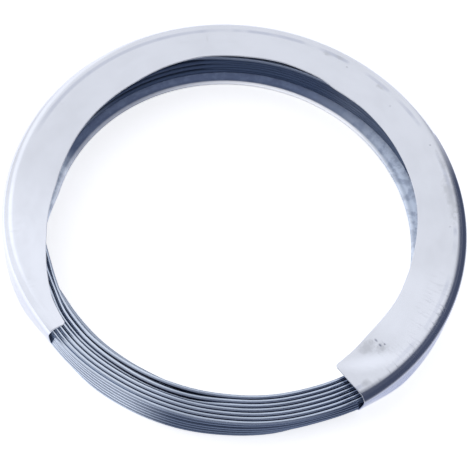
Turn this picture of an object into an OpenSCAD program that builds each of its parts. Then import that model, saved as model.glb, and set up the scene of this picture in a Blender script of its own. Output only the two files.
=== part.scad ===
// A one-pound coil of music wire lying in its ring clip.
// The clip is one strip of thin sheet, formed to a C section that opens towards the
// middle and rolled into most of a ring. The wire lies in it, and its turns show bare
// where the clip has its gap. Millimetres, +Z up, gap towards -Y.

/* [Wire] */
// Diameter of the wire, No. 28 of the music wire gauge
wire_d = 1.8; // [1.2:0.05:2.2]
// Turns side by side in each layer
turns_wide = 7; // [4:1:9]
// Layers of turns
layers = 6; // [3:1:9]
// Outer turns that the lowest layer lacks, where the clip's bend takes their room
short_turns = 1; // [0:1:1]
// Share of the wire's radius that stands clear of the closed core of the coil
groove_share = 0.5; // [0.3:0.05:0.7]

/* [Clip] */
// Radius of the clip over the outside of its wall
clip_r = 96.5; // [80:0.5:120]
// Thickness of the sheet
sheet_t = 0.5; // [0.4:0.05:0.7]
// Outside radius of the bend between the wall and the top flange
top_bend_r = 3.4; // [2.5:0.1:6]
// Outside radius of the bend between the wall and the lower flange
low_bend_r = 4.3; // [3.6:0.1:5.5]
// Clearance between the lowest turns and the lower flange
seat_clear = 0.1; // [0.05:0.05:0.3]
// How far the coil lies back in the clip, off the ring's axis
coil_back = 1.4; // [0:0.1:2]
// Free height between the top layer of turns and the top flange
head_room = 9.2; // [3:0.1:12]
// How far the lower flange reaches in past the innermost turns
low_reach = 4.7; // [2.5:0.1:6]
// How far the top flange reaches in past the innermost turns
top_reach = 6.1; // [2.5:0.1:7]
// Angle of the gap between the two ends
gap_deg = 81.5; // [50:0.5:110]

/* [Ends] */
// How far the foot of each end is cut back behind its top
end_lean = 3.2; // [1:0.1:5]
// Width that both flanges keep at their tapered end
taper_end_w = 9.3; // [8:0.1:13]
// Arc over which the flanges taper, counted from that end
taper_deg = 46; // [38:1:54]
// Radius of the tapered edges, flatter than the ring
taper_r = 87; // [84:1:110]
// How much narrower the top flange gets at its straight end
straight_trim = 3.9; // [2.8:0.1:5]
// Arc over which that end is trimmed along a straight line
straight_deg = 13; // [8:0.5:14]
// Radius of the inner corner at the straight end
corner_r = 1.8; // [1:0.1:4]
// Radius of the other corners of the flanges
small_corner_r = 1.5; // [0.6:0.1:2]

/* [Hand relief] */
// Depth of the shallow hollow in the edge of the top flange, at the back
relief_depth = 2.4; // [1:0.1:4]
// Arc of that hollow
relief_deg = 36; // [20:1:46]
// Angle from +X to the middle of that hollow
relief_at = 97; // [80:1:110]

/* [Hidden] */
$fn = 96;
overcut = 2;
clip_steel = [0.80, 0.81, 0.84];
wire_steel = [0.48, 0.51, 0.57];
coil_z = sheet_t + seat_clear;
clip_h = coil_z + layers * wire_d + head_room + sheet_t;
top_z = clip_h - sheet_t;
// At the back the lowest outer turn stands where the flat of the lower flange ends.
coil_out_r = clip_r - low_bend_r + (short_turns + 0.5) * wire_d - coil_back;
coil_in_r = coil_out_r - turns_wide * wire_d;
top_edge_r = coil_in_r - top_reach;
low_edge_r = coil_in_r - low_reach;
// The bare turns stand back from the clip's radius, so the middle of the footprint lies
// this far from the ring's axis.
axis_y = (coil_out_r - coil_back - clip_r) / 2;
right_end = 270 + gap_deg / 2 - 360;
left_end = 270 - gap_deg / 2;
lean_deg = atan(end_lean / clip_h);
// Corners are cut a little past their tangent, so that each cut crosses its edge cleanly.
corner_ease = 1.05;
low_lean = end_lean * (1 - sheet_t / clip_h);
taper_end_r = clip_r - taper_end_w;
taper_to = polar(taper_end_r, left_end);
taper_c = arc_centre(polar(top_edge_r, left_end - taper_deg), taper_to, taper_r);
low_taper_to = polar(taper_end_r, left_end - asin(low_lean / taper_end_r));
low_taper_c = arc_centre(polar(low_edge_r, left_end - taper_deg), low_taper_to, taper_r);
straight_from = polar(top_edge_r, right_end + straight_deg);
straight_to = polar(top_edge_r + straight_trim, right_end);
straight_run = (straight_from - straight_to) / norm(straight_from - straight_to);
relief_far = top_edge_r + relief_depth;
relief_c = (pow(relief_far, 2) - pow(top_edge_r, 2))
  / (2 * (relief_far - top_edge_r * cos(relief_deg / 2)));

function polar(r, a) = [r * cos(a), r * sin(a)];

// Centre of the arc of radius r from p to q that bulges away from the ring's axis.
function arc_centre(p, q, r) =
  let (chord = q - p)
  let (across = [chord[1], -chord[0]] / norm(chord))
  let (side = across * (p + q) < 0 ? across : -across)
  (p + q) / 2 + side * sqrt(pow(r, 2) - pow(norm(chord) / 2, 2));

// The half outline of a section: a block with two rounded outer corners.
module rounded_block(r0, r1, z0, z1, low, top) {
  translate([r0, z0])
    square([r1 - low - r0, z1 - z0 - top]);
  translate([r0, z0 + low])
    square([r1 - top - r0, z1 - z0 - low]);
  translate([r1 - max(low, top), z0 + low])
    square([max(low, top), z1 - z0 - low - top]);
  translate([r1 - low, z0 + low])
    circle(low);
  translate([r1 - top, z1 - top])
    circle(top);
}

// The C section of the strip, as it comes off the forming rolls.
module clip_section() {
  inner_r = min(top_edge_r, low_edge_r);
  difference() {
    rounded_block(inner_r, clip_r, 0, clip_h, low_bend_r, top_bend_r);
    rounded_block(inner_r - overcut, clip_r - sheet_t, sheet_t, top_z,
      low_bend_r - sheet_t, top_bend_r - sheet_t);
    if (low_edge_r > inner_r)
      translate([inner_r - overcut, -overcut])
        square([low_edge_r - inner_r + overcut, overcut + top_z / 2]);
    if (top_edge_r > inner_r)
      translate([inner_r - overcut, top_z / 2])
        square([top_edge_r - inner_r + overcut, clip_h]);
  }
}

// A slanting cut across the whole section, at the straight end.
module end_cut() {
  rotate([0, 0, right_end])
    translate([0, 0, clip_h])
      rotate([lean_deg, 0, 0])
        translate([low_edge_r / 2, -clip_h, -2 * clip_h])
          cube([clip_r, clip_h, 3 * clip_h]);
}

// Lifts a flat outline to a cutter through the flange whose underside is at z.
module through_flange(z) {
  translate([0, 0, z - overcut])
    linear_extrude(sheet_t + 2 * overcut)
      children();
}

// The outline that rounds the corner at p, where edges leave along the unit vectors a and b.
module corner_outline(p, a, b, r) {
  half = acos(a * b) / 2;
  mid = (a + b) / norm(a + b);
  centre = p + mid * r / sin(half);
  out_a = (p + a * r / tan(half) - centre) / r;
  out_b = (p + b * r / tan(half) - centre) / r;
  difference() {
    polygon([
      p - mid * overcut / sin(half),
      centre + out_a * (r + overcut),
      centre,
      centre + out_b * (r + overcut)
    ]);
    translate(centre)
      circle(r * corner_ease);
  }
}

// The edge of a flange runs off along a flatter arc towards one end.
module taper_cut(z, centre) {
  through_flange(z)
    intersection() {
      translate(centre)
        circle(taper_r);
      polygon([
        [0, 0],
        polar(2 * clip_r, left_end - taper_deg - 40),
        polar(2 * clip_r, left_end - taper_deg),
        polar(2 * clip_r, left_end + 8)
      ]);
    }
}

// Towards the other end the edge of the top flange runs off along a straight line.
module straight_cut() {
  through_flange(top_z)
    polygon([
      straight_to - straight_run * 6,
      straight_from + straight_run * 4,
      (straight_from + straight_run * 4) / 2,
      straight_to / 2
    ]);
}

module relief_cut() {
  through_flange(top_z)
    translate(polar(relief_c, relief_at))
      circle(relief_far - relief_c);
}

// The corner where a tapered edge, an arc about centre, meets the end of the strip.
module taper_corner(z, to, centre) {
  out = (to - centre) / taper_r;
  through_flange(z)
    corner_outline(to, polar(1, left_end), [out[1], -out[0]], small_corner_r);
}

module corner_cuts() {
  low_turn = asin(low_lean / low_edge_r);
  taper_corner(top_z, taper_to, taper_c);
  taper_corner(0, low_taper_to, low_taper_c);
  through_flange(top_z)
    corner_outline(straight_to, polar(1, right_end), straight_run, corner_r);
  through_flange(0)
    corner_outline(polar(low_edge_r, right_end + low_turn), polar(1, right_end),
      polar(1, right_end + low_turn + 90), small_corner_r);
}

module clip_ring() {
  color(clip_steel)
    translate([0, axis_y, 0])
      difference() {
        rotate([0, 0, right_end - 3])
          rotate_extrude(angle = left_end - right_end + 6)
            clip_section();
        end_cut();
        mirror([1, 0, 0])
          end_cut();
        taper_cut(top_z, taper_c);
        taper_cut(0, low_taper_c);
        straight_cut();
        relief_cut();
        corner_cuts();
      }
}

// Number of the outermost turn in layer k.
function last_turn(k) = turns_wide - 1 - (k == 0 ? short_turns : 0);

// The packed turns in section: the rim of round wires about a closed core.
module coil_section() {
  proud = wire_d / 2 * (1 - groove_share);
  for (k = [0 : layers - 1])
    for (i = [0 : last_turn(k)])
      if (i == 0 || i >= last_turn(0) || k == 0 || k == layers - 1)
        translate([(i + 0.5) * wire_d, (k + 0.5) * wire_d])
          circle(d = wire_d);
  for (k = [0, 1])
    translate([wire_d / 2 - proud, (k + 0.5) * wire_d - proud])
      square([last_turn(k) * wire_d + 2 * proud, (layers - 1 - k) * wire_d + 2 * proud]);
}

module wire_coil() {
  color(wire_steel)
    translate([0, axis_y + coil_back, coil_z])
      rotate_extrude()
        translate([coil_in_r, 0])
          coil_section();
}

clip_ring();
wire_coil();
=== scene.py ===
"""Dresses a coil of music wire in its ring clip.

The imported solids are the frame. The strip of the clip is formed again in its place with its
hand-trimmed edge, its sprung end and its slight waves, and the wire is wound turn by turn.
"""

import math
from types import SimpleNamespace

import bpy
import numpy as np
from mathutils import Matrix, Vector


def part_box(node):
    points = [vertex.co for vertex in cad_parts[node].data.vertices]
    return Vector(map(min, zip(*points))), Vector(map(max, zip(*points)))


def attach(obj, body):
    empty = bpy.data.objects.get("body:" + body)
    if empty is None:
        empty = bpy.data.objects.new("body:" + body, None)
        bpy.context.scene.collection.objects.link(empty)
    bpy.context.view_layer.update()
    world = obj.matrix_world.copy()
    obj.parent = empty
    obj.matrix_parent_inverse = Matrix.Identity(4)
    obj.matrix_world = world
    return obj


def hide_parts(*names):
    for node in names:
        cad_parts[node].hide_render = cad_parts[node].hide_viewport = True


bl_info = {
    "name": "Music Wire Coil",
    "version": (1, 0, 0),
    "blender": (4, 5, 0),
    "location": "View3D > Sidebar > Wire Coil",
    "description": "Forms a ring clip of sheet and winds a coil of music wire in it",
    "category": "Add Mesh",
}

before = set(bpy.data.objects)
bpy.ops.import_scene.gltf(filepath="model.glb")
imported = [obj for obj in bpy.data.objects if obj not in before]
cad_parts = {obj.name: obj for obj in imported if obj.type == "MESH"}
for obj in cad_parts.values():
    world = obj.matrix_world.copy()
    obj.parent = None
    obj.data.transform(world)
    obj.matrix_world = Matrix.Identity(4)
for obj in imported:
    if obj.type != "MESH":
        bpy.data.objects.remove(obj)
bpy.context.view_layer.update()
CLIP_LOW, CLIP_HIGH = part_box("clip_ring")
COIL_LOW, COIL_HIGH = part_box("wire_coil")
MM = 0.001

CLIP_RADIUS = (CLIP_HIGH.x - CLIP_LOW.x) / 2
CLIP_HEIGHT = CLIP_HIGH.z - CLIP_LOW.z
RING_AXIS_Y = CLIP_HIGH.y - CLIP_RADIUS
COIL_RADIUS = (COIL_HIGH.x - COIL_LOW.x) / 2
COIL_AXIS_Y = (COIL_HIGH.y + COIL_LOW.y) / 2

# The edge of the top flange as it was trimmed: degrees round from +X, and millimetres from
# the ring's axis.
TOP_EDGE = (
    (-52.0, 79.1), (-46.4, 77.6), (-41.1, 76.3), (-36.0, 75.2), (-30.0, 74.8),
    (-18.0, 74.8), (-13.0, 74.4), (-2.0, 74.4), (15.0, 75.3), (33.0, 75.5),
    (55.0, 75.7), (66.0, 75.2), (72.0, 76.6), (86.0, 77.5), (97.0, 77.0),
    (112.5, 77.3), (124.0, 76.3), (136.7, 74.9), (150.0, 74.7), (173.0, 74.7),
    (184.0, 75.2), (190.9, 76.5), (195.0, 77.4), (202.0, 78.8), (208.6, 80.8),
    (216.0, 83.4), (221.0, 85.2), (225.8, 86.2), (232.0, 87.2),
)
# The edge of the lower flange in the same way.
LOW_EDGE = (
    (-52.0, 80.6), (-46.0, 79.4), (-38.0, 77.2), (-32.0, 76.2), (181.0, 76.3),
    (184.6, 77.0), (191.9, 78.8), (205.0, 82.2), (216.0, 84.9), (230.0, 87.6),
)
# Radius of the flanges' corners at both ends, in millimetres.
CORNER = 1.6
# Each end of the top flange is cut askew: radii in millimetres, and degrees of turn there. The
# turn is gone after the run, in millimetres.
STRAIGHT_SKEW = ((79.0, 94.0), (-1.05, 0.75))
TAPER_SKEW = ((86.0, 94.0), (0.8, -0.2))
SKEW_RUN = 14.0
# How far from its end the foot of the wall is drawn in, in millimetres, at both ends.
STRAIGHT_PINCH_RUN = 26.0
TAPER_PINCH_RUN = 24.0
TAPER_PINCH_SHARE = 0.9
# Where the tapered end starts to spring in, and where it has sprung all the way, in degrees.
SPRING_ARC = (195.0, 231.0)
# Waves of the top flange: height in millimetres, waves in a full turn, and phase.
FLANGE_WAVES = ((0.12, 3.0, 0.6), (0.08, 7.0, 2.0), (0.04, 13.0, 4.0))
# Steps of the mesh from a rounded edge, in thicknesses of the sheet, and over the lip, in
# millimetres from its edge.
EDGE_STEPS = (0.0, 0.03, 0.12, 0.27, 0.5, 0.8)
LIP_START = 3.6
LIP_STEPS = (3.0, 2.4, 1.8, 1.3, 0.9, 0.65)

# Marks on the top flange: degrees round from +X, millimetres from the ring's axis, and the
# length and width of the mark in millimetres.
DARK_SPECKS = (
    (67.5, 88.3, 0.9, 0.8), (50.0, 85.8, 0.8, 0.7), (33.8, 89.9, 0.9, 0.9),
    (7.8, 88.5, 0.9, 0.8), (-35.5, 79.2, 1.6, 2.4), (-35.8, 81.8, 1.2, 1.8),
    (-34.6, 82.8, 1.2, 1.6),
)
GREY_SMUDGES = (
    (74.4, 89.7, 5.0, 2.6), (70.6, 90.8, 5.0, 2.2), (56.4, 89.5, 6.0, 2.6),
    (27.0, 91.2, 16.0, 2.8), (17.0, 90.4, 32.0, 6.0), (-39.0, 79.2, 12.0, 6.5),
    (-36.0, 83.0, 8.0, 5.0), (-46.0, 90.8, 6.0, 3.5),
)
# A painted highlight: the lighter face of a shallow crease near the straight end.
HIGHLIGHT_BANDS = ((-40.8, 85.3, 40.0, 10.0),)
# The highlight band runs outwards as it leaves the straight end, by this much along its length.
BAND_SLOPE = 0.39
# How far in from the clip's outside runs the painted shade line at the flange's shoulder.
SHOULDER_SHADE_IN = 5.75 * MM

# Colours of the sheet's marks and stains, and of painted light and shade on it.
# A glance is the colour at a glancing angle.
SPECK = (0.16, 0.18, 0.25)
# Painted shade along the flange's shoulder, where it starts to turn down.
SHOULDER_SHADE = (0.42, 0.45, 0.56)
# Painted shade: the wall darker than the flange, most of all towards the straight end.
PAINTED_WALL_SHADE = (0.52, 0.55, 0.65)
PAINTED_END_SHADE = (0.36, 0.385, 0.49)
BRIGHT_GLANCE = (1.0, 1.0, 1.0)
# Painted shade: a dimmer glancing reflection on the wall, towards the straight end.
SHADED_GLANCE = (0.74, 0.78, 0.92)
# The inside's stain as lit and as shaded: painted light and painted shade.
LIT_STAIN = (0.58, 0.655, 0.785)
SHADED_STAIN = (0.105, 0.135, 0.225)
STAIN_BLOTCH = (0.17, 0.215, 0.33)
# Painted highlight along the lower flange's inner edge.
RIM_HIGHLIGHT = (0.95, 0.96, 1.0)
# Colours of the wire: painted light, painted shade, and at a glancing angle.
PAINTED_WIRE_LIGHT = (0.77, 0.84, 0.94)
PAINTED_WIRE_SHADE = (0.058, 0.085, 0.155)
WIRE_GLANCE = (0.5, 0.53, 0.6)

# Where the winding starts and steps over: degrees round from +X, at the middle of each zone.
WINDING_START = 62.0
STEP_OUT_AT = 110.0
RISE_INSIDE_AT = 200.0
STEP_IN_AT = 330.0
RISE_OUTSIDE_AT = 400.0
ZONE_HALF = 12.0
END_PAST_ZONE = 15.0
STATIONS_PER_TURN = 150

# Spans of the ring over which the turns move, in degrees round from +X: start, full, fade, end.
LEAN_SPAN = (184.0, 207.0, 262.0, 306.0)
# Next to the tapered end the turns lean less, by this many millimetres.
UPRIGHT = 0.5
UPRIGHT_SPAN = (212.0, 226.0, 232.0, 250.0)
# How far all turns bow outwards, in millimetres, and where.
BOWS = (
    (-0.4, (266.0, 280.0, 296.0, 308.0)),
    (1.6, (301.0, 321.0, 327.0, 352.0)),
    (1.3, (332.0, 362.0, 400.0, 435.0)),
)
# How far each layer bulges under the straight end, in millimetres.
BULGE_BY_LAYER = (0.0, 0.3, 0.75, 1.0, 0.6, 0.0)
BULGE_SPAN = (300.0, 314.0, 326.0, 352.0)
# The lowest layer splays out across the gap, by this share of the wire.
SPLAY = 0.88
SPLAY_SPAN = (226.0, 246.0, 288.0, 306.0)
# How the layers drift: millimetres, waves in a full turn, and the phase from layer to layer.
LAYER_DRIFT = ((0.1, 2.0, 1.7), (0.05, 5.0, 2.9))
# Moves of single turns across the gap, as shares of the wire: slots from and to, share, span.
TOP_SHIFTS = (
    (-1.0, 0.25, 0.4, (206.0, 220.0, 232.0, 268.0)),
    (0.75, 1.25, 0.45, (216.0, 226.0, 262.0, 282.0)),
    (1.75, 2.25, 0.3, (216.0, 224.0, 230.0, 254.0)),
    (2.75, 99.0, 0.25, (208.0, 222.0, 236.0, 262.0)),
)
UNDER_SHIFTS = (
    (0.75, 2.25, -1.0, (206.0, 222.0, 280.0, 296.0)),
    (0.75, 2.25, -0.8, (204.0, 234.0, 252.0, 276.0)),
)
TOP_DROPS = (
    (1.75, 2.25, -0.5, (219.0, 226.0, 268.0, 281.0)),
    (1.75, 2.25, -0.38, (236.0, 254.0, 266.0, 281.0)),
)

# The floor lies a hair below the clip. It is a little whiter to the right.
FLOOR_DROP = 0.2 * MM
FLOOR_COLOUR = (0.85, 0.85, 0.87)
FLOOR_GLOW = (0.72, 0.75)
# The curved card that shows in the clip's bend: metres, and degrees round from +X.
CARD_RADIUS = 0.109
CARD_HEIGHT = 0.03
CARD_ARC = (-74.0, 40.0)
CARD_POINTS = 58
CARD_PALE = (0.85, 0.87, 0.96)
CARD_DARK = (0.07, 0.085, 0.14)
# The small lamp over the ring: watts, and metres.
LAMP_POWER = 1.2
LAMP_SIZE = 0.05
LAMP_HEIGHT = 0.2
# The camera's shift, as shares of the picture.
CAMERA_SHIFT = (0.0034, -0.0028)


def smooth(value, start, end):
    """Eases from 0 at start to 1 at end."""
    share = np.clip((np.asarray(value, float) - start) / (end - start), 0.0, 1.0)
    return share * share * (3.0 - 2.0 * share)


def bump_between(value, start, full, fade, end):
    """Eases from 0 at start to 1 at full, and back to 0 from fade to end."""
    return smooth(value, start, full) * (1.0 - smooth(value, fade, end))


def over_span(angle, span):
    """Eases in and out over a span of the ring that may run on past 360 degrees."""
    return bump_between(angle, *span) + bump_between(angle + 360.0, *span)


def ring_angle(degrees):
    """The angle that the ring's materials read at a place in degrees round from +X."""
    return math.radians(degrees - 90.0)


def length_property(label, about, size):
    """A length given in millimetres."""
    return bpy.props.FloatProperty(name=label, description=about, default=size * MM, unit="LENGTH")


def angle_property(label, about, degrees):
    """An angle given in degrees."""
    return bpy.props.FloatProperty(
        name=label, description=about, default=math.radians(degrees), subtype="ANGLE"
    )


def count_property(label, about, default, low, high):
    """A whole number between two limits."""
    return bpy.props.IntProperty(name=label, description=about, default=default, min=low, max=high)


def colour_property(label, about, default):
    """A colour, or a light's colour and strength."""
    return bpy.props.FloatVectorProperty(
        name=label, description=about, default=default, subtype="COLOR", min=0.0, soft_max=1.0
    )


class RingClipProperties(bpy.types.PropertyGroup):
    """Sizes and colour of the strip that holds the coil."""

    sheet: length_property("Sheet", "Thickness of the sheet", 0.5)
    top_bend: length_property("Top Bend", "Outside radius of the bend below the top flange", 4.2)
    shoulder: length_property(
        "Shoulder", "Wide radius with which the top flange starts to turn down", 11.5
    )
    shoulder_turn: angle_property(
        "Shoulder Turn", "Slope at which the shoulder runs into the bend", 14.0
    )
    low_bend: length_property("Low Bend", "Outside radius of the bend above the lower flange", 4.3)
    gap: angle_property("Gap", "Angle between the two ends", 81.5)
    end_lean: length_property(
        "End Lean", "How far the foot of each end is cut back behind its top", 3.2
    )
    spring_in: length_property(
        "Spring In", "How far the tapered end has sprung towards the ring's axis", 2.2
    )
    lip: length_property(
        "Lip", "How far the inner edge of the lower flange is turned up before it rolls over", 0.6
    )
    pinch: length_property(
        "Pinch", "How far the foot of the wall is drawn in under the turns at both ends", 3.0
    )
    colour: colour_property("Colour", "Colour of the bright sheet", (0.74, 0.76, 0.815))


class WireCoilProperties(bpy.types.PropertyGroup):
    """Sizes and colour of the wound wire."""

    diameter: length_property(
        "Wire Diameter", "Diameter of the wire, No. 28 of the music wire gauge", 1.8
    )
    turns_wide: count_property("Turns Wide", "Turns side by side in the fullest layers", 7, 4, 9)
    layers: count_property("Layers", "Layers of turns", 6, 2, 9)
    sides: count_property("Sides", "Sides of the wire's round section", 12, 6, 24)
    lean: length_property(
        "Lean", "How far the top layer leans in over the lowest one across the gap", 1.85
    )
    colour: colour_property("Colour", "Colour of the drawn wire", (0.56, 0.63, 0.755))


class StageProperties(bpy.types.PropertyGroup):
    """The pale floor, the studio's light and the camera."""

    floor_size: length_property("Floor Size", "Length of the floor's sides", 6000.0)
    bright: colour_property(
        "Bright Side",
        "Light from the studio's bright side, behind and to the left",
        (0.93, 0.945, 0.99),
    )
    front: colour_property("Front", "Light from the front of the studio", (0.40, 0.42, 0.48))
    dim: colour_property(
        "Dim Side", "Light from the studio's dim side, on the right", (0.09, 0.105, 0.16)
    )
    distance: length_property("Distance", "From the camera to the middle of the ring", 624.0)
    elevation: angle_property("Elevation", "Angle of the camera above the floor", 60.9)
    azimuth: angle_property("Azimuth", "How far the camera stands round to the right", 2.05)
    roll: angle_property("Roll", "Turn of the camera about its own axis", 9.75)
    lens: bpy.props.FloatProperty(
        name="Lens",
        description="Focal length in millimetres on a 36 mm sensor",
        default=112.62,
        subtype="DISTANCE_CAMERA",
    )


def settle_piece(name, mesh, node):
    """Puts a finished mesh in the scene, smooth, and ties it to the frame."""
    mesh.polygons.foreach_set("use_smooth", [True] * len(mesh.polygons))
    piece = bpy.data.objects.new(name, mesh)
    bpy.context.scene.collection.objects.link(piece)
    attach(piece, "root")
    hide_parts(node)


class NodeMaker:
    """Adds nodes to one tree and links them in the same line."""

    def __init__(self, tree):
        self.tree = tree

    def add(self, kind, settings=None, **inputs):
        """Adds a node; each input is a value or another node's output."""
        node = self.tree.nodes.new(kind)
        for key, value in (settings or {}).items():
            setattr(node, key, value)
        for key, value in inputs.items():
            self.feed(node, key, value)
        return node

    def feed(self, node, key, value):
        """Sets or links the input that is named, or numbered as in i0 and i1."""
        plain = key[1:].isdigit() and key[0] == "i"
        socket = node.inputs[int(key[1:]) if plain else key.replace("_", " ")]
        if isinstance(value, bpy.types.NodeSocket):
            self.tree.links.new(value, socket)
        elif socket.type == "RGBA":
            socket.default_value = (*value, 1.0)
        else:
            socket.default_value = value

    def math(self, operation, first, second=0.0, third=0.0):
        """One Math node's output."""
        node = self.add("ShaderNodeMath", {"operation": operation}, i0=first, i1=second, i2=third)
        return node.outputs[0]

    def times(self, first, *others):
        """The product of several values."""
        for other in others:
            first = self.math("MULTIPLY", first, other)
        return first

    def most(self, first, *others):
        """The largest of several values."""
        for other in others:
            first = self.math("MAXIMUM", first, other)
        return first

    def ease(self, value, start, end, low=0.0, high=1.0):
        """A smooth step of a value, as a Map Range node's output."""
        node = self.add(
            "ShaderNodeMapRange",
            {"interpolation_type": "SMOOTHSTEP"},
            Value=value,
            From_Min=start,
            From_Max=end,
            To_Min=low,
            To_Max=high,
        )
        return node.outputs["Result"]

    def turn_ease(self, angle, start, end, low=0.0, high=1.0):
        """A smooth step of the ring's angle between two places in degrees round from +X."""
        return self.ease(angle, ring_angle(start), ring_angle(end), low, high)

    def noise(self, vector, scale, detail=2.0, roughness=0.5):
        """A noise pattern's value."""
        node = self.add(
            "ShaderNodeTexNoise", Vector=vector, Scale=scale, Detail=detail, Roughness=roughness
        )
        return node.outputs["Fac"]

    def stretched(self, vector, scale):
        """A vector scaled by its own amount along each axis."""
        node = self.add("ShaderNodeVectorMath", {"operation": "MULTIPLY"}, i0=vector, i1=scale)
        return node.outputs[0]

    def mix(self, share, first, second):
        """A mix of two colours."""
        node = self.add("ShaderNodeMix", {"data_type": "RGBA"}, i0=share, i6=first, i7=second)
        return node.outputs[2]


def new_group(name, inputs, outputs):
    """An empty shader group with named sockets, and its maker and ends."""
    tree = bpy.data.node_groups.new(name, "ShaderNodeTree")
    for label, kind, default in inputs:
        socket = tree.interface.new_socket(label, in_out="INPUT", socket_type=kind)
        socket.default_value = default
    for label, kind in outputs:
        tree.interface.new_socket(label, in_out="OUTPUT", socket_type=kind)
    maker = NodeMaker(tree)
    return tree, maker, maker.add("NodeGroupInput"), maker.add("NodeGroupOutput")


def ring_pattern_group():
    """Coordinates that run round the ring: arc, radius and height, in metres."""
    name = "Ring Coordinates"
    if name in bpy.data.node_groups:
        return bpy.data.node_groups[name]
    tree, make, start, end = new_group(
        name,
        [
            ("Axis Y", "NodeSocketFloat", RING_AXIS_Y),
            ("Arc Scale", "NodeSocketFloat", CLIP_RADIUS),
        ],
        [
            ("Vector", "NodeSocketVector"),
            ("Radius", "NodeSocketFloat"),
            ("Angle", "NodeSocketFloat"),
        ],
    )
    place = make.add("ShaderNodeTexCoord").outputs["Object"]
    place = make.add("ShaderNodeSeparateXYZ", Vector=place)
    across = place.outputs["X"]
    along = make.math("SUBTRACT", place.outputs["Y"], start.outputs["Axis Y"])
    squares = make.math("MULTIPLY_ADD", across, across, make.times(along, along))
    radius = make.math("SQRT", squares)
    # The seam of the angle lies in the clip's gap, at -Y.
    angle = make.math("ARCTAN2", make.times(across, -1.0), along)
    vector = make.add(
        "ShaderNodeCombineXYZ",
        X=make.times(angle, start.outputs["Arc Scale"]),
        Y=radius,
        Z=place.outputs["Z"],
    )
    make.feed(end, "Vector", vector.outputs[0])
    make.feed(end, "Radius", radius)
    make.feed(end, "Angle", angle)
    return tree


def ring_place(make):
    """The place on the ring: the whole vector, and its arc, angle, radius and level."""
    node = make.add("ShaderNodeGroup", {"node_tree": ring_pattern_group()})
    axes = make.add("ShaderNodeSeparateXYZ", Vector=node.outputs["Vector"])
    return SimpleNamespace(
        path=node.outputs["Vector"],
        arc=axes.outputs["X"],
        angle=node.outputs["Angle"],
        radius=node.outputs["Radius"],
        level=axes.outputs["Z"],
    )


def facing_axes(make):
    """The three parts of the surface's normal."""
    normal = make.add("ShaderNodeNewGeometry").outputs["Normal"]
    return make.add("ShaderNodeSeparateXYZ", Vector=normal).outputs


def new_material(name, colour):
    """A material with a Principled shader, and its maker and shader."""
    material = bpy.data.materials.new(name)
    material.use_nodes = True
    material.diffuse_color = (*colour, 1.0)
    make = NodeMaker(material.node_tree)
    shader = material.node_tree.nodes["Principled BSDF"]
    make.feed(shader, "Base_Color", colour)
    return material, make, shader


def ring_mark_group():
    """One soft-edged mark on the sheet: 1 inside it and 0 outside."""
    name = "Ring Mark"
    if name in bpy.data.node_groups:
        return bpy.data.node_groups[name]
    tree, make, start, end = new_group(
        name,
        [
            ("Vector", "NodeSocketVector", (0.0, 0.0, 0.0)),
            ("Centre", "NodeSocketVector", (0.0, 0.0, 0.0)),
            ("Scale", "NodeSocketVector", (1.0, 1.0, 0.0)),
            ("Ragged", "NodeSocketFloat", 1.0),
        ],
        [("Mask", "NodeSocketFloat")],
    )
    offset = make.add(
        "ShaderNodeVectorMath",
        {"operation": "SUBTRACT"},
        i0=start.outputs["Vector"],
        i1=start.outputs["Centre"],
    )
    scaled = make.stretched(offset.outputs[0], start.outputs["Scale"])
    away = make.add("ShaderNodeVectorMath", {"operation": "LENGTH"}, i0=scaled)
    ragged = make.math("SUBTRACT", make.noise(start.outputs["Vector"], 500.0, 3.0, 0.6), 0.5)
    away = make.math("MULTIPLY_ADD", ragged, start.outputs["Ragged"], away.outputs["Value"])
    make.feed(end, "Mask", make.ease(away, 1.1, 0.1))
    return tree


def ring_marks(make, path, marks, ragged):
    """The mask of several marks, each given by angle, radius, length and width."""
    masks = []
    for angle, radius, length, width in marks:
        mark = make.add(
            "ShaderNodeGroup",
            {"node_tree": ring_mark_group()},
            Vector=path,
            Centre=(ring_angle(angle) * CLIP_RADIUS, radius * MM, 0.0),
            Scale=(2.0 / (length * MM), 2.0 / (width * MM), 0.0),
            Ragged=ragged,
        )
        masks.append(mark.outputs["Mask"])
    return make.most(*masks)


def rubbed_streaks(make, ring):
    """Streaks across the strip, in patches and at the straight end."""
    streaks = make.noise(make.stretched(ring.path, (3.2, 0.5, 0.5)), 330.0, 3.0, 0.55)
    patches = make.ease(make.noise(ring.path, 70.0, 2.0), 0.58, 0.72, 0.0, 0.6)
    rubbed = make.times(
        make.turn_ease(ring.angle, -50.4, -36.1),
        make.turn_ease(ring.angle, -1.7, -16.0),
        make.ease(ring.radius, 81.0 * MM, 87.0 * MM),
    )
    return make.times(make.ease(streaks, 0.5, 0.7), make.most(patches, rubbed))


def shoulder_shade_line(make, ring):
    """A faint line of painted shade where the flange starts to turn down."""
    away = make.math("SUBTRACT", ring.radius, CLIP_RADIUS - SHOULDER_SHADE_IN)
    away = make.math("ABSOLUTE", away)
    patches = make.noise(make.stretched(ring.path, (1.0, 0.2, 0.2)), 60.0, 2.0)
    broken = make.most(
        make.ease(patches, 0.38, 0.6), make.turn_ease(ring.angle, 95.7, 118.6, 0.0, 0.8)
    )
    return make.times(
        make.ease(away, 1.3 * MM, 0.2 * MM), broken, make.turn_ease(ring.angle, 173.1, 158.8)
    )


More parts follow.
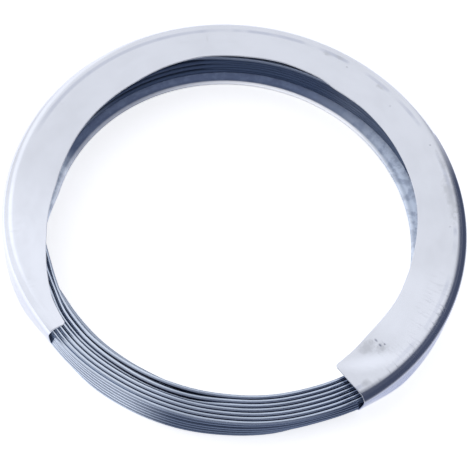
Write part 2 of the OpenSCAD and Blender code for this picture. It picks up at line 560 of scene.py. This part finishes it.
def flange_tone(make, ring, colour, clouds, streaked, line):
    """Top flange: cloudy and streaked, paler at both ends, with its line, marks and painted light.
    """
    dark = tuple(0.7 * value for value in colour)
    pale = tuple(min(1.0, 1.17 * value) for value in colour)
    # Painted light: the flange is paler towards the tapered end, on the bright side.
    tone = make.mix(make.turn_ease(ring.angle, 175.9, 203.4), colour, pale)
    tone = make.mix(make.ease(clouds, 0.35, 0.75, 0.0, 0.16), tone, dark)
    tone = make.mix(make.times(streaked, 0.4), tone, dark)
    # Painted shade along the shoulder line.
    tone = make.mix(make.times(line, 0.55), tone, SHOULDER_SHADE)
    rubbed = make.times(
        make.turn_ease(ring.angle, -38.9, -27.5),
        make.turn_ease(ring.angle, -1.7, -16.0, 0.0, 0.5),
    )
    tone = make.mix(rubbed, tone, pale)
    # The painted highlight band slants outwards away from the straight end.
    middle = ring_angle(HIGHLIGHT_BANDS[0][0]) * CLIP_RADIUS
    shift = make.times(make.math("SUBTRACT", ring.arc, middle), BAND_SLOPE)
    slanted = make.add(
        "ShaderNodeCombineXYZ", X=ring.arc, Y=make.math("SUBTRACT", ring.radius, shift)
    )
    for place, marks, shade, share, ragged in (
        (slanted.outputs[0], HIGHLIGHT_BANDS, pale, 1.0, 0.3),
        (ring.path, GREY_SMUDGES, dark, 0.75, 1.6),
        (ring.path, DARK_SPECKS, SPECK, 0.8, 1.2),
    ):
        mask = ring_marks(make, place, marks, ragged)
        tone = make.mix(make.times(mask, share), tone, shade)
    return tone


def inside_mask(make, ring):
    """Where the sheet faces the coil: the inside of the wall, and the lower flange."""
    facing = facing_axes(make)
    inward = make.math(
        "SUBTRACT",
        make.times(facing["X"], make.math("SINE", ring.angle)),
        make.times(facing["Y"], make.math("COSINE", ring.angle)),
    )
    wall = make.times(make.ease(inward, 0.3, 0.7), make.ease(ring.level, 20.0 * MM, 19.0 * MM))
    flange = make.times(
        make.ease(ring.level, 4.0 * MM, 2.0 * MM), make.ease(ring.radius, 92.5 * MM, 91.5 * MM)
    )
    return make.most(flange, wall)


def stain_and_shading(make, ring):
    """Stains inside, painted light towards +X, painted shade at the back, and a rim highlight."""
    blotches = make.ease(make.noise(ring.path, 190.0, 5.0, 0.7), 0.44, 0.62)
    # Painted shade round the back of the inside, painted light at both sides.
    back_shade = make.times(
        make.turn_ease(ring.angle, 27.0, 84.3), make.turn_ease(ring.angle, 171.4, 161.0)
    )
    tone = make.mix(back_shade, LIT_STAIN, SHADED_STAIN)
    tone = make.mix(make.times(blotches, 0.5), tone, STAIN_BLOTCH)
    # Painted highlight along the lower flange's inner edge, strongest at the back right.
    rim = make.times(
        make.ease(ring.radius, 78.2 * MM, 77.2 * MM),
        make.turn_ease(ring.angle, 84.3, 138.7, 1.0, 0.3),
        make.turn_ease(ring.angle, 32.7, 61.4, 0.15, 1.0),
    )
    return make.mix(rim, tone, RIM_HIGHLIGHT)


def bright_sheet(colour):
    """Satin tinned sheet: even tone, rolled grain, rubbed streaks, specks, stains, painted
    shading.
    """
    material, make, shader = new_material("bright_sheet", colour)
    ring = ring_place(make)
    clouds = make.noise(make.stretched(ring.path, (1.0, 2.0, 1.0)), 45.0, 4.0, 0.6)
    grain = make.noise(make.stretched(ring.path, (0.12, 4.0, 4.0)), 400.0, 3.0, 0.6)
    streaked = rubbed_streaks(make, ring)
    line = shoulder_shade_line(make, ring)
    tone = flange_tone(make, ring, colour, clouds, streaked, line)
    # Painted shade: the wall is darker than the flange, most of all towards the straight end.
    wall = make.ease(ring.level, 19.6 * MM, 16.0 * MM, 0.0, 0.95)
    wall_shade = make.mix(make.turn_ease(ring.angle, 15.5, -24.6), PAINTED_WALL_SHADE, PAINTED_END_SHADE)
    tone = make.mix(wall, tone, wall_shade)
    # Painted shade: the wall's glancing reflection is dimmer towards the straight end.
    glance_shade = make.times(wall, make.turn_ease(ring.angle, 21.2, -18.9))
    make.feed(shader, "Specular_Tint", make.mix(glance_shade, BRIGHT_GLANCE, SHADED_GLANCE))
    inside = inside_mask(make, ring)
    make.feed(shader, "Base_Color", make.mix(inside, tone, stain_and_shading(make, ring)))
    make.feed(shader, "Metallic", make.math("SUBTRACT", 1.0, inside))
    rough = make.math("MULTIPLY_ADD", make.ease(clouds, 0.3, 0.7), 0.06, 0.15)
    rough = make.math("MULTIPLY_ADD", streaked, 0.12, rough)
    make.feed(shader, "Roughness", make.math("MULTIPLY_ADD", inside, 0.3, rough))
    height = make.math("MULTIPLY_ADD", grain, 0.25, make.times(streaked, -0.5))
    height = make.math("MULTIPLY_ADD", line, -0.4, height)
    bump = make.add("ShaderNodeBump", Strength=0.12, Distance=0.2 * MM, Height=height)
    make.feed(shader, "Normal", bump.outputs[0])
    return material


def shaded_gaps(make, ring, lit_left):
    """Painted shade in the gaps, lower layers and innermost turns, less on the lit bare turns."""
    deep = make.times(
        make.ease(ring.level, 9.9 * MM, 9.3 * MM), make.ease(ring.radius, 82.0 * MM, 83.0 * MM)
    )
    gaps = make.times(make.most(make.ease(facing_axes(make)["Z"], 0.88, 0.4), deep), 0.85)
    # Painted light: the painted shade is lifted on the outside of the lit bare turns at the left.
    lit_outside = make.times(lit_left, make.ease(ring.radius, 86.5 * MM, 88.5 * MM, 0.0, 0.9))
    gaps = make.times(gaps, make.math("SUBTRACT", 1.0, lit_outside))
    innermost = make.times(
        make.ease(ring.level, 10.3 * MM, 9.6 * MM),
        make.ease(ring.radius, 81.5 * MM, 80.5 * MM, 0.0, 0.5),
    )
    return make.most(gaps, innermost)


def shaded_ends(make, ring):
    """Painted shadow on the turns that run in under both ends of the clip."""
    askew = make.math("SUBTRACT", ring.radius, 79.0 * MM)
    askew = make.math("MULTIPLY_ADD", askew, -2.1, ring.angle)
    straight = make.times(
        make.turn_ease(askew, -50.1, -48.4), make.turn_ease(ring.angle, -36.1, -41.8, 0.0, 0.8)
    )
    tapered = make.times(
        make.turn_ease(ring.angle, 228.1, 226.4),
        make.ease(ring.radius, 84.5 * MM, 86.5 * MM, 0.0, 0.45),
        make.turn_ease(ring.angle, 204.6, 221.8),
    )
    return make.most(straight, tapered)


def drawn_wire(colour):
    """Bare drawn steel: fine lines along the wire, a slow change of tone, painted light and shade.
    """
    material, make, shader = new_material("drawn_wire", colour)
    ring = ring_place(make)
    lines = make.noise(make.stretched(ring.path, (0.02, 6.0, 6.0)), 900.0, 2.0, 0.6)
    change = make.noise(make.stretched(ring.path, (0.25, 3.0, 3.0)), 120.0, 2.0, 0.5)
    dark = tuple(0.74 * value for value in colour)
    tone = make.mix(make.ease(change, 0.35, 0.7, 0.0, 0.6), colour, dark)
    # Painted light: the bare turns at the left of the gap are lighter, on the bright side.
    lit_left = make.times(
        make.turn_ease(ring.angle, 266.5, 250.4), make.turn_ease(ring.angle, 204.6, 221.8)
    )
    tone = make.mix(make.times(lit_left, 0.62), tone, PAINTED_WIRE_LIGHT)
    # Painted shade: the turns are darker in the middle of the gap, furthest round from the back.
    from_back = make.math("ABSOLUTE", ring.angle)
    middle = make.ease(from_back, math.radians(169.0), math.radians(177.6), 0.0, 0.5)
    tone = make.mix(middle, tone, dark)
    # Painted shade on the turns that lie inside the clip, in under its top flange.
    covered = make.times(
        make.turn_ease(ring.angle, 178.8, 135.8),
        make.turn_ease(ring.angle, 27.0, 75.7),
        make.ease(ring.level, 11.3 * MM, 10.2 * MM, 0.3, 1.0),
    )
    # All the painted shade on the wire, in one colour.
    wire_shade = make.most(covered, shaded_gaps(make, ring, lit_left), shaded_ends(make, ring))
    make.feed(shader, "Base_Color", make.mix(wire_shade, tone, PAINTED_WIRE_SHADE))
    make.feed(shader, "Metallic", make.math("MULTIPLY_ADD", covered, -0.7, 1.0))
    make.feed(shader, "Specular_Tint", WIRE_GLANCE)
    rough = make.math("MULTIPLY_ADD", lines, 0.16, 0.17)
    make.feed(shader, "Roughness", make.math("MULTIPLY_ADD", covered, 0.35, rough))
    bump = make.add("ShaderNodeBump", Strength=0.1, Distance=0.05 * MM, Height=lines)
    make.feed(shader, "Normal", bump.outputs[0])
    return material


def end_steps(fine, coarse_length, coarse_count, span):
    """Stations along a span: fine steps at both of its ends and even ones between."""
    near = np.concatenate([fine, fine[-1] + coarse_length * np.arange(1, coarse_count + 1)])
    middle = np.arange(near[-1], span - near[-1], 1.5)
    middle = np.linspace(near[-1], span - near[-1], len(middle) + 1)
    return np.concatenate([near[:-1], middle, (span - near[:-1])[::-1]])


def rolled_edge(distance, sheet):
    """Thickness of the sheet near an edge that is rounded over."""
    inside = np.clip(1.0 - distance / (sheet / 2.0), 0.0, 1.0)
    return sheet * np.maximum(np.sqrt(1.0 - inside**2), 0.12)


def trimmed_corner(distance, radius):
    """How far the edge of the flange is taken back by the rounded corner at its end."""
    inside = np.clip(1.0 - distance / radius, 0.0, 1.0)
    return radius * (1.0 - np.sqrt(1.0 - inside**2))


def edge_radius(outline, angle):
    """The trimmed edge of a flange, with its kinks a little eased."""
    knots = np.array(outline)
    spread = np.linspace(-1.5, 1.5, 13)
    weights = np.exp(-(spread**2))
    samples = [np.interp(angle + step, knots[:, 0], knots[:, 1]) for step in spread]
    return np.tensordot(weights / weights.sum(), np.array(samples), 1)


def flange_swell(angle, share):
    """How far the top flange stands off its plane, from the bend at 0 to its edge at 1."""
    turn = np.radians(angle)
    wave = sum(size * np.sin(count * turn + phase) for size, count, phase in FLANGE_WAVES)
    return wave * np.clip(share, 0.0, 1.0) ** 1.4


def strip_section(props, edge, foot, fine):
    """The strip's section at each station, from the edge of the top flange to the lower one's.

    Gives the radius and height of its columns, how many lie on the flat of the top flange and
    on the lower flange, and the radius and height at which the top flange and its bend end.
    """
    half = props.sheet / MM / 2
    radius, height = CLIP_RADIUS / MM, CLIP_HEIGHT / MM
    top_bend, low_bend = props.top_bend / MM, props.low_bend / MM
    shoulder, slope = props.shoulder / MM, props.shoulder_turn
    flat_end = radius - top_bend - (shoulder - top_bend) * math.sin(slope)
    bend_level = height - shoulder + (shoulder - top_bend) * math.cos(slope)
    reaches, levels = [], []

    def add_column(reach, level):
        reaches.append(np.broadcast_to(reach, edge.shape))
        levels.append(np.full_like(edge, level))

    for step in fine[:-1]:
        add_column(edge + step, height - half)
    start = edge + fine[-2]
    for step in np.linspace(0.0, 1.0, 24)[1:]:
        add_column(start + (flat_end - start) * step, height - half)
    top_count = len(reaches)
    for arc in np.linspace(0.0, slope, 8)[1:]:
        add_column(
            flat_end + (shoulder - half) * math.sin(arc),
            height - shoulder + (shoulder - half) * math.cos(arc),
        )
    for arc in np.linspace(slope, math.radians(90.0), 15)[1:-1]:
        add_column(
            radius - top_bend + (top_bend - half) * math.sin(arc),
            bend_level + (top_bend - half) * math.cos(arc),
        )
    for level in np.linspace(bend_level, low_bend, 9):
        add_column(radius - half, level)
    for arc in np.radians(np.linspace(0.0, 90.0, 11)[1:-1]):
        add_column(
            radius - low_bend + (low_bend - half) * math.cos(arc),
            low_bend - (low_bend - half) * math.sin(arc),
        )
    low_start = len(reaches)
    start = foot + LIP_START
    for step in np.linspace(1.0, 0.0, 10):
        add_column(start + (radius - low_bend - start) * step, half)
    for step in (*LIP_STEPS, *fine[::-1]):
        add_column(foot + step, half)
    counts = top_count, len(reaches) - low_start
    return np.array(reaches).T, np.array(levels).T, counts, flat_end, bend_level


def clip_sheet_grid(props):
    """The middle of the sheet as a grid of points, and its thickness there, in millimetres."""
    sheet = props.sheet / MM
    radius, height = CLIP_RADIUS / MM, CLIP_HEIGHT / MM
    half_gap = math.degrees(props.gap) / 2.0
    right_end, left_end = half_gap - 90.0, 270.0 - half_gap
    span = math.radians(left_end - right_end) * radius
    fine = sheet * np.array(EDGE_STEPS)
    along = end_steps(fine, 0.3, 12, span)
    share = along / span
    from_end = np.minimum(along, span - along)

    angle = right_end + (left_end - right_end) * share
    spring = props.spring_in / MM * smooth(angle, *SPRING_ARC) ** 1.3
    corner = trimmed_corner(from_end, CORNER)
    edge = edge_radius(TOP_EDGE, angle) + spring + corner
    foot = edge_radius(LOW_EDGE, angle) + spring + corner
    reach, level, counts, flat_end, bend_level = strip_section(props, edge, foot, fine)
    top_count, low_count = counts

    # Each end leans, and is cut a little askew across the top flange.
    lean = props.end_lean / MM * (1.0 - level / height)
    swing = np.degrees(np.arcsin(lean / reach))
    turned = right_end + swing + (left_end - right_end - 2.0 * swing) * share[:, None]
    skew = np.interp(reach, *STRAIGHT_SKEW) * (level / height)
    turned = turned + skew * (1.0 - smooth(along, 0.0, SKEW_RUN))[:, None]
    skew = np.interp(reach, *TAPER_SKEW) * (level / height)
    turned = turned + skew * smooth(along, span - SKEW_RUN, span)[:, None]

    # The foot of the wall is pinched in at both ends.
    drawn_in = props.pinch / MM * np.clip(1.0 - level / bend_level, 0.0, 1.0) ** 1.3
    drawn_in = drawn_in * smooth(reach, 78.0, radius - props.low_bend / MM)
    near_ends = 1.0 - smooth(along, 0.0, STRAIGHT_PINCH_RUN)
    near_ends = near_ends + TAPER_PINCH_SHARE * smooth(along, span - TAPER_PINCH_RUN, span)

    # The top flange waves, and the edge of the lower one is turned up into a lip.
    inward = np.zeros_like(reach)
    top = slice(0, top_count)
    inward[:, top] = (flat_end - reach[:, top]) / (flat_end - reach[:, :1])
    level = level + flange_swell(turned, inward)
    lip = props.lip / MM * bump_between(angle, right_end + 4.0, right_end + 10.0, 176.0, 190.0)
    from_edge = reach - foot[:, None]
    raised = (1.0 - smooth(from_edge, 0.9, 3.2)) * smooth(from_edge, 0.0, 0.42)
    low = slice(reach.shape[1] - low_count, None)
    level[:, low] = level[:, low] + (lip[:, None] * raised)[:, low]

    reach = reach - spring[:, None] - drawn_in * near_ends[:, None]
    points = np.stack([
        reach * np.cos(np.radians(turned)),
        reach * np.sin(np.radians(turned)) + RING_AXIS_Y / MM,
        level,
    ], axis=-1)

    ends = rolled_edge(from_end, sheet)[:, None]
    sides = np.full(reach.shape[1], sheet)
    sides[: len(fine)] = rolled_edge(fine, sheet)
    sides[-len(fine) :] = rolled_edge(fine, sheet)[::-1]
    return points, np.minimum(ends, sides[None, :])


def shell_faces(rows, cols):
    """Faces of a closed shell: an outer and an inner grid, joined along all four sides."""
    index = np.arange(rows * cols).reshape(rows, cols)
    inner = index + rows * cols
    a, b, c, d = index[:-1, :-1], index[1:, :-1], index[1:, 1:], index[:-1, 1:]
    faces = [np.stack([a, d, c, b], -1).reshape(-1, 4)]
    faces.append(np.stack([a, b, c, d], -1).reshape(-1, 4) + rows * cols)
    for line, mate, flip in (
        (index[0], inner[0], True),
        (index[-1], inner[-1], False),
        (index[:, 0], inner[:, 0], False),
        (index[:, -1], inner[:, -1], True),
    ):
        strip = [line[:-1], line[1:], mate[1:], mate[:-1]]
        faces.append(np.stack(strip[::-1] if flip else strip, -1))
    return np.concatenate(faces)


class RINGCLIP_OT_form(bpy.types.Operator):
    """Form the strip of sheet that holds the coil"""

    bl_idname = "ringclip.form"
    bl_label = "Form Ring Clip"

    def execute(self, context):
        props = context.scene.ring_clip
        middle, thickness = clip_sheet_grid(props)
        round_way = np.gradient(middle, axis=0)
        across = np.gradient(middle, axis=1)
        normal = np.cross(across, round_way)
        normal = normal / np.linalg.norm(normal, axis=-1, keepdims=True)
        offset = normal * thickness[..., None] / 2.0
        sides = [(middle + way * offset).reshape(-1, 3) for way in (1.0, -1.0)]
        vertices = np.concatenate(sides) * MM
        mesh = bpy.data.meshes.new("ring_clip")
        mesh.from_pydata(vertices.tolist(), [], shell_faces(*thickness.shape).tolist())
        mesh.update()
        mesh.materials.append(bright_sheet(tuple(props.colour)))
        settle_piece("ring_clip", mesh, "clip_ring")
        return {"FINISHED"}


def winding_steps(turns_wide, layers):
    """The places where the wire steps over, each with its slot and layer change, and its end.

    The wire starts in the lowest layer, one slot in from the outermost. Even layers wind inwards
    and odd ones outwards, so that layers that lie on each other step in different places.
    """
    last = turns_wide - 1
    slot, layer, turn = last - 1, 0, 0
    steps = []
    while True:
        base = 360.0 * turn
        outward = layer % 2 == 1
        if outward and slot < last and turn > 0 and steps:
            steps.append((base + STEP_OUT_AT, 1, 0))
            slot += 1
        if not outward and slot == 0:
            steps.append((base + RISE_INSIDE_AT, 0, 1))
            layer += 1
        if layer == layers - 1 and slot == last and layer % 2 == 1:
            return steps, base + STEP_IN_AT + END_PAST_ZONE
        outward = layer % 2 == 1
        if not outward:
            steps.append((base + STEP_IN_AT, -1, 0))
            slot -= 1
        if outward and slot == last:
            steps.append((base + RISE_OUTSIDE_AT, 0, 1))
            layer += 1
        turn += 1


def shifted_turns(angle, slot, in_layer, shifts):
    """How far the turns of one layer move, as a share of the wire."""
    moved = np.zeros_like(angle)
    for first, last, share, span in shifts:
        chosen = in_layer & (slot > first) & (slot < last)
        moved = moved + np.where(chosen, share * over_span(angle, span), 0.0)
    return moved


def winding_path(props):
    """The middle line of the wound wire, in millimetres."""
    wire = props.diameter / MM
    steps, end = winding_steps(props.turns_wide, props.layers)
    count = int((end - WINDING_START) / 360.0 * STATIONS_PER_TURN)
    turned = np.linspace(WINDING_START, end, count)
    slot = np.full(count, props.turns_wide - 2.0)
    layer = np.zeros(count)
    for place, sideways, upwards in steps:
        passed = smooth(turned, place - ZONE_HALF, place + ZONE_HALF)
        slot += sideways * passed
        layer += upwards * passed
    angle = np.mod(turned, 360.0)
    inner = COIL_RADIUS / MM - props.turns_wide * wire
    radius = inner + (slot + 0.5) * wire
    height = COIL_LOW.z / MM + (layer + 0.5) * wire

    lean = over_span(angle, LEAN_SPAN) * props.lean / MM
    lean = lean - UPRIGHT * over_span(angle, UPRIGHT_SPAN)
    radius = radius - lean * layer / (props.layers - 1.0)
    for bow, span in BOWS:
        radius = radius + bow * over_span(angle, span)
    bulge = np.interp(layer, np.arange(len(BULGE_BY_LAYER)), BULGE_BY_LAYER)
    radius = radius + bulge * over_span(angle, BULGE_SPAN)
    lowest = 1.0 - smooth(layer, 0.0, 1.0)
    radius = radius + SPLAY * wire * over_span(angle, SPLAY_SPAN) * lowest
    for size, waves, phase in LAYER_DRIFT:
        radius = radius + size * np.sin(waves * np.radians(angle) + phase * layer)

    on_top = np.abs(layer - (props.layers - 1.0)) < 0.5
    under = np.abs(layer - (props.layers - 2.0)) < 0.5
    radius = radius + wire * shifted_turns(angle, slot, on_top, TOP_SHIFTS)
    radius = radius + wire * shifted_turns(angle, slot, under, UNDER_SHIFTS)
    height = height + wire * shifted_turns(angle, slot, on_top, TOP_DROPS)
    turn = np.radians(turned)
    return np.stack([
        radius * np.cos(turn), radius * np.sin(turn) + COIL_AXIS_Y / MM, height
    ], axis=-1)


def wire_tree():
    """Geometry nodes that draw a round wire along a line."""
    tree = bpy.data.node_groups.new("Wire Along Line", "GeometryNodeTree")
    for label, kind in (
        ("Geometry", "NodeSocketGeometry"),
        ("Diameter", "NodeSocketFloat"),
        ("Sides", "NodeSocketInt"),
        ("Material", "NodeSocketMaterial"),
    ):
        tree.interface.new_socket(label, in_out="INPUT", socket_type=kind)
    tree.interface.new_socket("Geometry", in_out="OUTPUT", socket_type="NodeSocketGeometry")
    make = NodeMaker(tree)
    start = make.add("NodeGroupInput")
    line = make.add("GeometryNodeMeshToCurve", Mesh=start.outputs["Geometry"])
    half = make.times(start.outputs["Diameter"], 0.5)
    ring = make.add(
        "GeometryNodeCurvePrimitiveCircle", Resolution=start.outputs["Sides"], Radius=half
    )
    tube = make.add(
        "GeometryNodeCurveToMesh",
        Curve=line.outputs[0],
        Profile_Curve=ring.outputs[0],
        Fill_Caps=True,
    )
    real = make.add("GeometryNodeRealizeInstances", Geometry=tube.outputs[0])
    finish = make.add(
        "GeometryNodeSetMaterial", Geometry=real.outputs[0], Material=start.outputs["Material"]
    )
    make.add("NodeGroupOutput", Geometry=finish.outputs[0])
    return tree


class MUSICWIRE_OT_wind(bpy.types.Operator):
    """Wind the wire into its coil, layer by layer"""

    bl_idname = "musicwire.wind"
    bl_label = "Wind Wire Coil"

    def execute(self, context):
        props = context.scene.wire_coil
        points = winding_path(props) * MM
        length = float(np.linalg.norm(np.diff(points, axis=0), axis=1).sum())
        print(f"wire length {length:.3f} m")
        line = bpy.data.meshes.new("wire_line")
        edges = [(i, i + 1) for i in range(len(points) - 1)]
        line.from_pydata(points.tolist(), edges, [])
        guide = bpy.data.objects.new("wire_line", line)
        context.scene.collection.objects.link(guide)
        modifier = guide.modifiers.new("Wire", "NODES")
        modifier.node_group = wire_tree()
        values = {
            "Diameter": props.diameter,
            "Sides": props.sides,
            "Material": drawn_wire(tuple(props.colour)),
        }
        for item in modifier.node_group.interface.items_tree:
            if item.in_out == "INPUT" and item.name in values:
                modifier[item.identifier] = values[item.name]
        evaluated = guide.evaluated_get(context.evaluated_depsgraph_get())
        mesh = bpy.data.meshes.new_from_object(evaluated)
        mesh.name = "wire_coil_turns"
        guide.modifiers.clear()
        bpy.data.objects.remove(guide)
        if not mesh.polygons:
            raise RuntimeError("the wire came out empty")
        settle_piece("wire_coil_turns", mesh, "wire_coil")
        return {"FINISHED"}


def object_axes(make):
    """The three parts of a place in the object's own coordinates."""
    place = make.add("ShaderNodeTexCoord").outputs["Object"]
    return make.add("ShaderNodeSeparateXYZ", Vector=place).outputs


def white_floor():
    """A pale floor that is white in the open and keeps the object's soft shadow."""
    material, make, shader = new_material("white_floor", FLOOR_COLOUR)
    make.feed(shader, "Roughness", 1.0)
    make.feed(shader, "Specular_IOR_Level", 0.0)
    ray = make.add("ShaderNodeLightPath").outputs
    seen = make.most(ray["Is Camera Ray"], ray["Is Glossy Ray"], ray["Is Transmission Ray"])
    white = make.ease(object_axes(make)["X"], 0.03, 0.09, *FLOOR_GLOW)
    make.feed(shader, "Emission_Color", (1.0, 1.0, 1.0))
    make.feed(shader, "Emission_Strength", make.times(seen, white))
    return material


def dark_card():
    """A card that is pale at its foot and towards the back, and dark above."""
    material, make, shader = new_material("dark_card", (0.0, 0.0, 0.0))
    make.feed(shader, "Specular_IOR_Level", 0.0)
    make.feed(shader, "Emission_Strength", 1.0)
    axes = object_axes(make)
    fading = make.times(
        make.ease(axes["Z"], 2.0 * MM, 15.0 * MM),
        make.ease(axes["Y"], 0.08, 0.042),
        make.ease(axes["Y"], -0.102, -0.086, 0.6, 1.0),
    )
    make.feed(shader, "Emission_Color", make.mix(fading, CARD_PALE, CARD_DARK))
    return material


def studio_light(props):
    """A wide soft studio: bright behind and to the left, dim in front and to the right."""
    world = bpy.data.worlds.new("studio")
    bpy.context.scene.world = world
    world.use_nodes = True
    world.node_tree.nodes.clear()
    make = NodeMaker(world.node_tree)
    way = make.add("ShaderNodeTexCoord").outputs["Generated"]
    axes = make.add("ShaderNodeSeparateXYZ", Vector=way).outputs
    across, depth = axes["X"], axes["Y"]
    toward = make.times(depth, 0.8)
    toward = make.math("MULTIPLY_ADD", make.math("MINIMUM", across, 0.0), -0.6, toward)
    # The bright side ends on the right, a little sooner over one stretch of its depth.
    rightward = make.math("MULTIPLY_ADD", depth, 0.08, across)
    nearer = make.times(make.ease(depth, 0.42, 0.56), make.ease(depth, 0.8, 0.62))
    rightward = make.math("MULTIPLY_ADD", nearer, 0.09, rightward)
    share = make.times(make.ease(toward, 0.0, 0.22), make.ease(rightward, 0.58, 0.4))
    # A long strip light hangs on the left, towards the back.
    strip = make.times(
        make.ease(across, -0.34, -0.44),
        make.ease(across, -0.72, -0.56),
        make.ease(depth, 0.1, 0.3),
    )
    strength = make.math("MULTIPLY_ADD", strip, 0.3, 1.0)
    # The dim side starts well above the floor.
    dimmed = make.times(make.ease(across, -0.1, 0.35), make.ease(axes["Z"], 0.38, 0.58))
    low = make.mix(dimmed, tuple(props.front), tuple(props.dim))
    colour = make.mix(share, low, tuple(props.bright))
    background = make.add("ShaderNodeBackground", Color=colour, Strength=strength)
    make.add("ShaderNodeOutputWorld", Surface=background.outputs[0])


class WIRESTAGE_OT_set(bpy.types.Operator):
    """Lay the floor and set the light and the camera"""

    bl_idname = "wirestage.set"
    bl_label = "Set Stage"

    def execute(self, context):
        scene = context.scene
        props = scene.wire_stage
        half = props.floor_size / 2.0
        mesh = bpy.data.meshes.new("floor")
        corners = [(-half, -half), (half, -half), (half, half), (-half, half)]
        mesh.from_pydata([(x, y, -FLOOR_DROP) for x, y in corners], [], [(0, 1, 2, 3)])
        mesh.materials.append(white_floor())
        floor = bpy.data.objects.new("floor", mesh)
        scene.collection.objects.link(floor)
        self.stand_card(scene)
        self.hang_lamp(scene)
        studio_light(props)
        self.place_camera(scene, props)
        scene.view_settings.view_transform = "Standard"
        return {"FINISHED"}

    def stand_card(self, scene):
        """Bends a low card round the right side, to show in the bend; cameras don't see it."""
        turns = np.radians(np.linspace(*CARD_ARC, CARD_POINTS))
        vertices = [
            (CARD_RADIUS * math.cos(turn), CARD_RADIUS * math.sin(turn) + RING_AXIS_Y, level)
            for level in (0.0, CARD_HEIGHT)
            for turn in turns
        ]
        faces = [
            (i, i + 1, i + 1 + CARD_POINTS, i + CARD_POINTS) for i in range(CARD_POINTS - 1)
        ]
        mesh = bpy.data.meshes.new("dark_card")
        mesh.from_pydata(vertices, [], faces)
        mesh.materials.append(dark_card())
        card = bpy.data.objects.new("dark_card", mesh)
        card.visible_camera = False
        card.visible_diffuse = False
        card.visible_shadow = False
        scene.collection.objects.link(card)

    def hang_lamp(self, scene):
        """Hangs a small soft lamp over the ring that lights the object and not the floor."""
        data = bpy.data.lights.new("ring_lamp", "POINT")
        data.energy = LAMP_POWER
        data.shadow_soft_size = LAMP_SIZE
        lamp = bpy.data.objects.new("ring_lamp", data)
        lamp.location = (0.0, RING_AXIS_Y, LAMP_HEIGHT)
        lamp.visible_camera = False
        lamp.visible_glossy = False
        lit = bpy.data.collections.new("lit_by_ring_lamp")
        for name in ("ring_clip", "wire_coil_turns"):
            lit.objects.link(bpy.data.objects[name])
        lamp.light_linking.receiver_collection = lit
        scene.collection.objects.link(lamp)

    def place_camera(self, scene, props):
        """Looks at the middle of the ring from in front and above, turned a little."""
        level = math.cos(props.elevation)
        back = Vector((
            level * math.sin(props.azimuth),
            -level * math.cos(props.azimuth),
            math.sin(props.elevation),
        ))
        side = Vector((0.0, 0.0, 1.0)).cross(back).normalized()
        rise = back.cross(side)
        right = side * math.cos(props.roll) + rise * math.sin(props.roll)
        up = rise * math.cos(props.roll) - side * math.sin(props.roll)
        data = bpy.data.cameras.new("camera")
        data.lens = props.lens
        data.sensor_width = 36.0
        data.shift_x, data.shift_y = CAMERA_SHIFT
        data.clip_start = 0.01
        camera = bpy.data.objects.new("camera", data)
        turn = Matrix((right, up, back)).transposed().to_4x4()
        middle = Vector((0.0, RING_AXIS_Y, 0.0))
        camera.matrix_world = Matrix.Translation(middle + back * props.distance) @ turn
        scene.collection.objects.link(camera)
        scene.camera = camera


class VIEW3D_PT_wire_coil(bpy.types.Panel):
    """Lists the steps that make the coil and its stage"""

    bl_idname = "VIEW3D_PT_wire_coil"
    bl_label = "Music Wire Coil"
    bl_space_type = "VIEW_3D"
    bl_region_type = "UI"
    bl_category = "Wire Coil"

    def draw(self, context):
        for group, operator in (
            (context.scene.ring_clip, RINGCLIP_OT_form),
            (context.scene.wire_coil, MUSICWIRE_OT_wind),
            (context.scene.wire_stage, WIRESTAGE_OT_set),
        ):
            box = self.layout.box()
            for name in group.__annotations__:
                box.prop(group, name)
            box.operator(operator.bl_idname)


CLASSES = (
    RingClipProperties,
    WireCoilProperties,
    StageProperties,
    RINGCLIP_OT_form,
    MUSICWIRE_OT_wind,
    WIRESTAGE_OT_set,
    VIEW3D_PT_wire_coil,
)


def register():
    for cls in CLASSES:
        bpy.utils.register_class(cls)
    bpy.types.Scene.ring_clip = bpy.props.PointerProperty(type=RingClipProperties)
    bpy.types.Scene.wire_coil = bpy.props.PointerProperty(type=WireCoilProperties)
    bpy.types.Scene.wire_stage = bpy.props.PointerProperty(type=StageProperties)


def unregister():
    del bpy.types.Scene.wire_stage
    del bpy.types.Scene.wire_coil
    del bpy.types.Scene.ring_clip
    for cls in reversed(CLASSES):
        bpy.utils.unregister_class(cls)


def main():
    register()
    bpy.ops.ringclip.form()
    bpy.ops.musicwire.wind()
    bpy.ops.wirestage.set()


if __name__ == "__main__":
    main()
